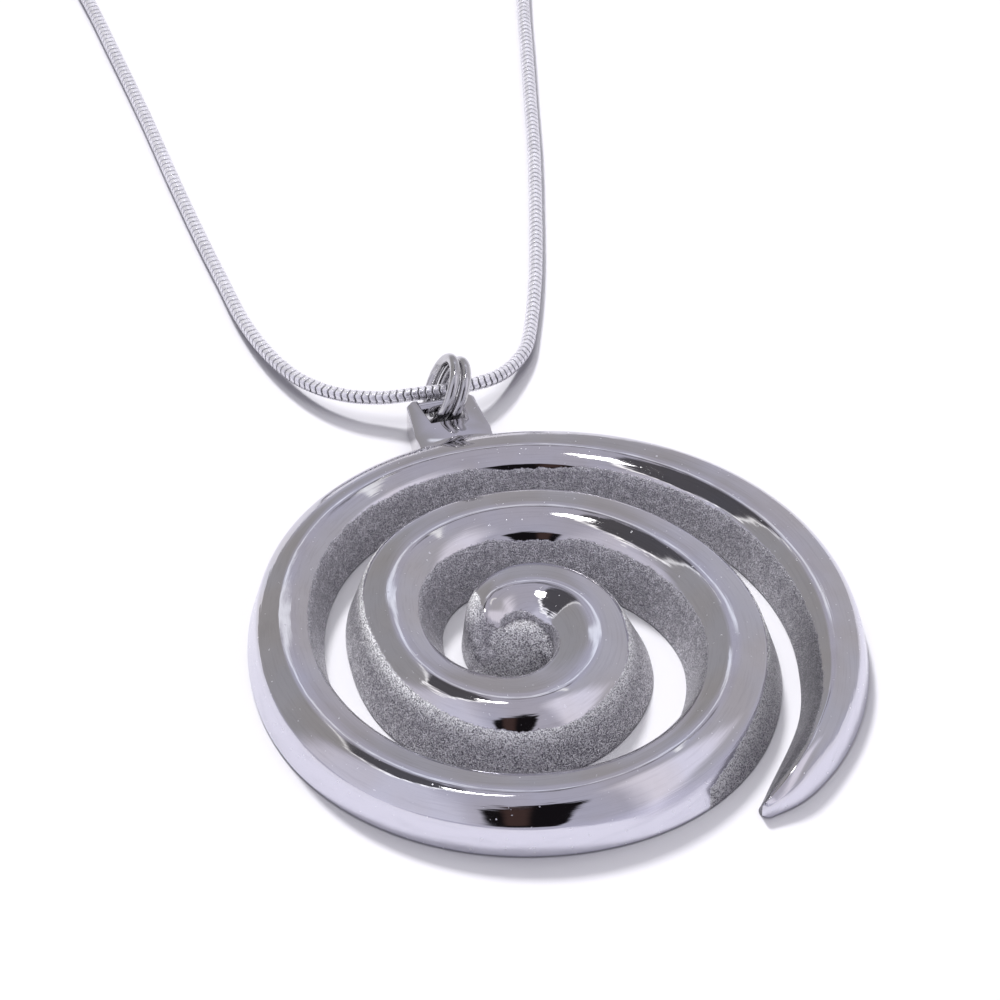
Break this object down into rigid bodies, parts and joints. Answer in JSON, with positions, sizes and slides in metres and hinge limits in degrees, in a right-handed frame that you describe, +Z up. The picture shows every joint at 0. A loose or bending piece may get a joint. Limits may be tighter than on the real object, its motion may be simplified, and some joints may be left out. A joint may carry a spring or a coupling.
{
  "type": "spiral pendant necklace",
  "caption": "Chunky cast-steel spiral disc pendant hung by plain jump rings on a fine snake chain, lying flat as a closed necklace.",
  "frame": {"origin": "on the pendant's flat back, at the centre of the pendant's outline seen from above, with the back on the surface it lies on", "axes": "+Z up out of the pendant's front, +Y from the pendant to its lug and along the laid-out necklace, +X to the right as seen from above"},
  "size_m": [0.0948, 0.2448, 0.0063],
  "materials": {
    "cast_steel": "mirror-polished rounded crest, sand-blasted dark walls between the turns",
    "ring_steel": "polished wire",
    "chain_steel": "polished snake-chain links",
    "clasp_steel": "plain polished steel"
  },
  "bodies": {
    "root": {"spiral_pendant": "cast_steel", "jump_ring_left": "ring_steel", "jump_ring_right": "ring_steel", "chain": "chain_steel", "end_cap_left": "clasp_steel", "end_cap_right": "clasp_steel", "clasp_ring_left": "ring_steel", "clasp_ring_right": "ring_steel", "clasp": "clasp_steel"}
  },
  "joints": []
}
